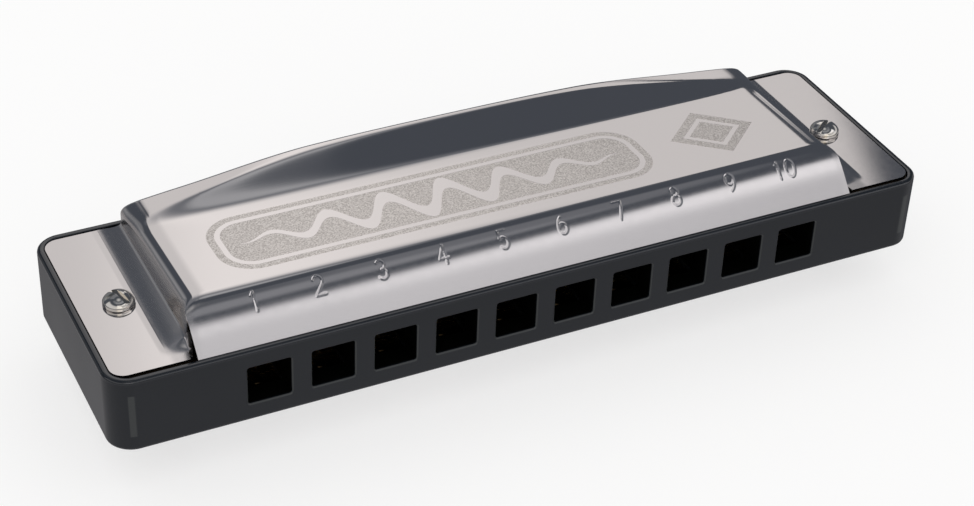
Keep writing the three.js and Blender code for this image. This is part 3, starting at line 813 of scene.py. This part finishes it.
def build_cover_screw(side, slot_turn):
    node = f"cover_screw_{side}"
    low, high = node_box(node)
    centre = (low[:2] + high[:2]) / 2
    head_radius, head_height = 1.8, 1.4
    seat = FLANGE_TOP + 0.03
    material = fastener_material(f"{node}_nickel", *centre)
    profile = dome_profile(head_radius, 0.36, head_height, 0.95, seat - low[2], 14, 1.35)
    screw = make_object(f"{node}_turned", *revolved(profile, 72, (*centre, seat)), material, 30.0)
    cutter = slot_cutter(centre, seat, head_height, 0.62, 0.7, slot_turn, 1.0, material)
    subtract(screw, [cutter])
    shade(screw, 30.0)
    soften(screw, 0.06, 3)
    return finish_piece(screw, "fastener_steel", node)


def build_plate_screw(node, upper):
    low, high = node_box(node)
    centre = (low[:2] + high[:2]) / 2
    direction = 1.0 if upper else -1.0
    head_height = 0.6
    seat = high[2] - head_height if upper else low[2] + head_height
    profile = dome_profile(1.1, 0.25, head_height, 0.55, high[2] - low[2] - head_height, 5)
    material = fastener_material(f"{node}_steel", *centre)
    screw = make_object(f"{node}_turned", *revolved(profile, 32, (*centre, seat), direction), material, 30.0)
    cutter = slot_cutter(centre, seat, head_height, 0.35, 0.3, 0.7 * centre[0], direction, material)
    subtract(screw, [cutter])
    shade(screw, 30.0)
    return finish_piece(screw, "fastener_steel", node)


def build_rivet(node, material):
    low, high = node_box(node)
    centre = (low[:2] + high[:2]) / 2
    total = high[2] - low[2]
    head, formed = 0.35, 0.2
    profile = [
        (0.0, 0.0), (0.55, 0.0), (0.82, 0.05), (0.96, 0.16), (1.0, head - 0.04), (0.97, head), (0.5, head),
        (0.5, total - formed), (0.78, total - formed), (0.8, total - formed + 0.04), (0.72, total - 0.05),
        (0.45, total), (0.0, total),
    ]
    rivet = make_object(f"{node}_turned", *revolved(profile, 28, (*centre, low[2])), material, 35.0)
    return finish_piece(rivet, "rivet_brass", node)


def finish_piece(piece, slot, *nodes, body=BODY):
    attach(piece, body)
    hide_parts(*nodes)
    return piece


def dress_node(name, material, bevel_mm=0.0):
    """Gives a CAD node that stays its material, and takes the razor edge off its corners."""
    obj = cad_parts[name]
    obj.data.materials.clear()
    obj.data.materials.append(material)
    if bevel_mm:
        soften(obj, bevel_mm)


# ---- Studio ----

def softbox(tree, azimuth, elevation, sides, levels, soft):
    """1 inside a patch of sky given in degrees, fading over soft degrees at its edges."""
    return product(
        tree,
        fade(tree, azimuth, sides[0] - soft, sides[0] + soft),
        invert(tree, fade(tree, azimuth, sides[1] - soft, sides[1] + soft)),
        fade(tree, elevation, levels[0] - soft, levels[0] + soft),
        invert(tree, fade(tree, elevation, levels[1] - soft, levels[1] + soft)),
    )


def lit(tree, base, patch, color):
    """Adds a patch of coloured light to the sky."""
    inputs = {"Factor": patch, 6: base, 7: (*color, 1.0)}
    return make_node(tree, "ShaderNodeMix", inputs, data_type="RGBA", blend_type="ADD").outputs[2]


def build_studio_light():
    """Plain ambient light, and for reflections a dark studio with broad softboxes. The studio is mirrored
    below the horizon, with the floor's tone over most of that half. Angles are in degrees, azimuth is from +Y
    towards +X."""
    world = bpy.data.worlds.new("studio")
    bpy.context.scene.world = world
    world.use_nodes = True
    world.cycles.sampling_method = "NONE"
    tree = world.node_tree
    tree.nodes.clear()
    direction = make_node(tree, "ShaderNodeTexCoord").outputs["Generated"]
    split = make_node(tree, "ShaderNodeSeparateXYZ", {"Vector": direction})
    to_degrees = 180 / math.pi
    azimuth = calc(tree, "MULTIPLY", calc(tree, "ARCTAN2", split.outputs[0], split.outputs[1]), to_degrees)
    true_elevation = calc(tree, "MULTIPLY", calc(tree, "ARCSINE", split.outputs[2]), to_degrees)
    elevation = calc(tree, "ABSOLUTE", true_elevation)
    around = calc(tree, "ABSOLUTE", azimuth)

    warm = (1.0, 0.955, 0.93)
    leaning = product(tree, calc(tree, "MINIMUM", calc(tree, "SUBTRACT", elevation, 31.0), 3.0), 0.6)
    returning = product(tree, calc(tree, "MAXIMUM", calc(tree, "SUBTRACT", elevation, 36.0), 0.0), 0.4)
    across = calc(tree, "ADD", calc(tree, "SUBTRACT", azimuth, leaning), returning)
    panel = product(
        tree,
        fade(tree, azimuth, 1.5, 5.0),
        invert(tree, fade(tree, across, 37.6, 38.6)),
        fade(tree, elevation, 21.5, 25.5),
        invert(tree, fade(tree, elevation, 38.0, 57.0)),
    )
    hot = product(tree, panel, invert(tree, fade(tree, azimuth, 17.0, 30.0)), fade(tree, azimuth, 13.0, 18.0))
    panel_foot = softbox(tree, azimuth, elevation, (31.0, 38.4), (12.5, 23.0), 1.0)
    panel = calc(tree, "MAXIMUM", panel, panel_foot)
    front_top = invert(tree, fade(tree, elevation, 47.5, 53.0))
    above_slant = calc(tree, "MULTIPLY_ADD", around, -0.2, calc(tree, "ADD", elevation, 29.6))
    front_hot = fade(tree, above_slant, 41.0, 46.0)
    front_left = fade(tree, calc(tree, "MULTIPLY", azimuth, -1.0), 140, 160)
    in_front = calc(tree, "MAXIMUM", fade(tree, azimuth, 95, 110), front_left)
    front = product(tree, in_front, fade(tree, elevation, 14.0, 22.0), front_top)
    front_level = calc(tree, "MULTIPLY_ADD", front_hot, 0.85, 0.48)
    below_zenith = invert(tree, fade(tree, elevation, 70.0, 78.0))
    overhead = product(tree, fade(tree, elevation, 59.0, 62.5), below_zenith)
    overhead_level = calc(tree, "ADD", calc(tree, "MULTIPLY", fade(tree, around, 66, 82), 0.1),
                          calc(tree, "MULTIPLY", fade(tree, around, 105, 130), 0.09))
    near_back = softbox(tree, azimuth, elevation, (-45, 39), (44, 66), 4)
    on_right = product(tree, fade(tree, azimuth, 0, 10), invert(tree, fade(tree, azimuth, 172, 180)))
    ring_height = calc(tree, "MULTIPLY_ADD", on_right, 21.0, elevation)
    below_ring_top = invert(tree, fade(tree, ring_height, 38, 50))
    ring = product(tree, fade(tree, around, 60, 68), fade(tree, elevation, 5, 10), below_ring_top)

    sky = (0.072, 0.081, 0.099, 1.0)
    sky = lit(tree, sky, panel, [0.66 * c for c in warm])
    sky = lit(tree, sky, hot, [0.28 * c for c in warm])
    sky = lit(tree, sky, product(tree, front, front_level), (0.985, 0.97, 0.99))
    sky = lit(tree, sky, product(tree, overhead, overhead_level), (1.0, 1.0, 1.04))
    sky = lit(tree, sky, near_back, (0.12, 0.12, 0.125))
    sky = lit(tree, sky, softbox(tree, azimuth, elevation, (24, 37), (57, 66), 3), (0.22, 0.22, 0.22))
    sky = lit(tree, sky, softbox(tree, azimuth, elevation, (-39, -24), (10, 40), 5), (0.13, 0.128, 0.125))
    sky = lit(tree, sky, softbox(tree, azimuth, elevation, (-40, 24), (-10, 22), 4), (0.1, 0.1, 0.1))
    sky = lit(tree, sky, ring, (0.56, 0.54, 0.53))
    sky = lit(tree, sky, fade(tree, elevation, 74, 90), (0.5, 0.49, 0.48))

    floor_side = product(
        tree,
        invert(tree, fade(tree, true_elevation, -1.5, 0.5)),
        calc(tree, "MAXIMUM", fade(tree, around, 70, 90), invert(tree, fade(tree, azimuth, -8, 0))),
    )
    far_floor, near_floor = (0.28, 0.272, 0.28, 1.0), (0.5, 0.49, 0.5, 1.0)
    floor_tone = mix_color(tree, fade(tree, elevation, 12, 60), far_floor, near_floor)
    sky = mix_color(tree, floor_side, sky, floor_tone)

    plain = (1.0, 0.995, 0.99, 1.0)
    is_reflection = make_node(tree, "ShaderNodeLightPath").outputs["Is Glossy Ray"]
    color = mix_color(tree, is_reflection, plain, sky)
    background = make_node(tree, "ShaderNodeBackground", {"Color": color, "Strength": 1.0})
    make_node(tree, "ShaderNodeOutputWorld", {"Surface": background.outputs[0]})


def build_floor(height):
    """A plain pale floor that glows a little, so shadows stay faint. It is clear from below, and to
    reflections, for which the studio's sky goes on under the horizon."""
    material, tree, shader, _, output = new_material("floor_pale")
    color = (0.97, 0.97, 0.97, 1.0)
    set_inputs(tree, shader, {"Base Color": color, "Roughness": 1.0, "Specular IOR Level": 0.0})
    glow = make_node(tree, "ShaderNodeEmission", {"Color": color, "Strength": 1.0})
    surface = make_node(tree, "ShaderNodeMixShader", {0: 0.62, 1: shader.outputs[0], 2: glow.outputs[0]})
    seen_from_below = make_node(tree, "ShaderNodeNewGeometry").outputs["Backfacing"]
    is_reflection = make_node(tree, "ShaderNodeLightPath").outputs["Is Glossy Ray"]
    unseen = calc(tree, "MAXIMUM", seen_from_below, is_reflection)
    clear = make_node(tree, "ShaderNodeBsdfTransparent")
    mixed = make_node(tree, "ShaderNodeMixShader", {0: unseen, 1: surface.outputs[0], 2: clear.outputs[0]})
    tree.links.new(mixed.outputs[0], output.inputs["Surface"])
    reach = 3000.0
    sides = ((-1, -1), (1, -1), (1, 1), (-1, 1))
    corners = [(side_x * reach, side_y * reach, height) for side_x, side_y in sides]
    floor = make_object("floor", corners, [(0, 1, 2, 3)], material)


def build_key_light():
    """A broad soft light from the upper left front, for the matt surfaces and the floor's faint shadow."""
    light = bpy.data.lights.new("key", "AREA")
    light.shape = "DISK"
    light.size = 0.5
    light.energy = 0.25
    key = bpy.data.objects.new("key", light)
    key.location = (-0.35, -0.45, 0.6)
    key.rotation_euler = Vector((0.35, 0.45, -0.6)).to_track_quat("-Z", "Y").to_euler()
    key.visible_glossy = False
    bpy.context.scene.collection.objects.link(key)


def build_camera():
    """Looks down at the mouth side from the left: azimuth, elevation and roll in degrees, lengths in mm."""
    azimuth, elevation, roll = math.radians(-27.08), math.radians(35.46), math.radians(2.48)
    aim = np.array((-0.73, -0.6, -1.21))
    distance = 254.1
    forward = Vector((
        -math.sin(azimuth) * math.cos(elevation),
        math.cos(azimuth) * math.cos(elevation),
        -math.sin(elevation),
    ))
    level_right = forward.cross(Vector((0, 0, 1))).normalized()
    level_up = level_right.cross(forward)
    right = math.cos(roll) * level_right + math.sin(roll) * level_up
    up = math.cos(roll) * level_up - math.sin(roll) * level_right
    place = (Vector(aim) - distance * forward) * MM
    data = bpy.data.cameras.new("camera")
    data.lens, data.sensor_width = 79.49, 36.0
    data.clip_start, data.clip_end = 0.01, 20.0
    camera = bpy.data.objects.new("camera", data)
    axes = Matrix((right, up, -forward)).transposed().to_4x4()
    camera.matrix_world = Matrix.Translation(place) @ axes
    bpy.context.scene.collection.objects.link(camera)
    bpy.context.scene.camera = camera


# ---- Assembly ----

def build_harmonica():
    plate = brass_material("plate_brass", (0.66, 0.5, 0.23), (60.0, 4200.0, 4200.0), 0.2)
    reed = brass_material("reed_brass", (0.74, 0.57, 0.27), (6500.0, 90.0, 6500.0), 0.22)
    rivet = brass_material("rivet_brass", (0.62, 0.45, 0.2), (900.0, 900.0, 900.0), 0.2)

    finish_piece(build_comb(comb_material()), "comb_plastic", "comb")
    inside = inner_material("steel_inside_painted_shade")
    upper = build_cover("upper_cover_pressing", cover_material("steel_etched", True), inside, True, False)
    finish_piece(upper, "cover_steel", "upper_cover")
    lower = build_cover("lower_cover_pressing", cover_material("steel_plain", False), inside, False, True)
    finish_piece(lower, "cover_steel", "lower_cover")

    build_cover_screw("left", math.radians(-68))
    build_cover_screw("right", math.radians(30))
    for number in range(1, 6):
        build_plate_screw(f"upper_plate_screw_{number}", True)
        build_plate_screw(f"lower_plate_screw_{number}", False)
    for side in ("left", "right"):
        node = f"cover_nut_{side}"
        low, high = node_box(node)
        centre = (low[:2] + high[:2]) / 2
        dress_node(node, fastener_material(f"{node}_nickel", *centre), 0.12)
    for node in ("upper_reed_plate", "lower_reed_plate"):
        dress_node(node, plate)
    for number in range(1, 11):
        for kind in ("blow", "draw"):
            dress_node(f"{kind}_reed_{number}", reed)
            build_rivet(f"{kind}_rivet_{number}", rivet)


def build_scene():
    build_harmonica()
    build_studio_light()
    build_floor(cad_low.z / MM)
    build_key_light()
    build_camera()
    view = bpy.context.scene.view_settings
    view.view_transform = "Standard"
    view.look = "None"


build_scene()
